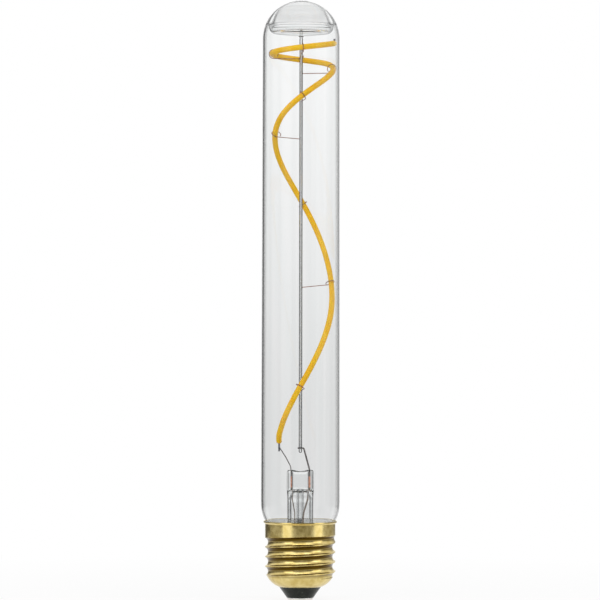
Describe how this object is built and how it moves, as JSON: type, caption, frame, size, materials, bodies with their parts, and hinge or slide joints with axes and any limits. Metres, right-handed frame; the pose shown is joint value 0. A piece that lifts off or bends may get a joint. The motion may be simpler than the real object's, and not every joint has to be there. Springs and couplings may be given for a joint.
{
  "type": "tubular light bulb",
  "caption": "Long clear glass tube lamp with a loosely coiled yellow light filament on a thin glass post and a brass screw cap.",
  "frame": {"origin": "foot of the centre contact, on the lamp's axis", "axes": "+Z along the axis from the cap to the dome; the filament's lower end is on the -X side"},
  "size_m": [0.0296, 0.0296, 0.225],
  "materials": {
    "clear_glass": "clear polished",
    "stem_glass": "clear fire polished",
    "post_glass": "clear fire polished",
    "nickel_wire": "drawn wire",
    "hook_wire": "heat-tinted drawn wire",
    "copper_wire": "copper clad",
    "phosphor": "satin silicone with yellow phosphor",
    "tab_metal": "satin",
    "cement": "matt",
    "brass": "bright drawn",
    "black_glass": "glossy",
    "contact_metal": "bright nickel",
    "solder": "bright",
    "board": "green lacquer",
    "black_plastic": "moulded",
    "can": "satin",
    "resistor": "lacquered"
  },
  "bodies": {
    "root": {"glass_envelope": "clear_glass", "top_cup": "clear_glass", "stem_flare": "stem_glass", "exhaust_tube": "stem_glass", "centre_post": "post_glass", "return_wire": "nickel_wire", "upper_lead": "nickel_wire", "filament": "phosphor", "lower_tab": "tab_metal", "upper_tab": "tab_metal", "left_lead": "nickel_wire", "right_lead": "nickel_wire", "left_seal_wire": "copper_wire", "right_seal_wire": "copper_wire", "left_outer_lead": "nickel_wire", "right_outer_lead": "nickel_wire", "base_cement": "cement", "screw_shell": "brass", "insulator": "black_glass", "centre_contact": "contact_metal", "contact_solder": "solder", "driver_board": "board", "bridge_rectifier": "black_plastic", "driver_chip": "black_plastic", "capacitor": "can", "fuse_resistor": "resistor", "neutral_wire": "nickel_wire", "neutral_joint": "solder", "support_hook_1": "hook_wire", "support_hook_2": "hook_wire", "support_hook_3": "hook_wire", "support_hook_4": "hook_wire", "support_hook_5": "hook_wire", "support_hook_6": "hook_wire", "support_hook_7": "hook_wire", "support_hook_8": "hook_wire", "support_hook_9": "hook_wire"}
  },
  "joints": []
}
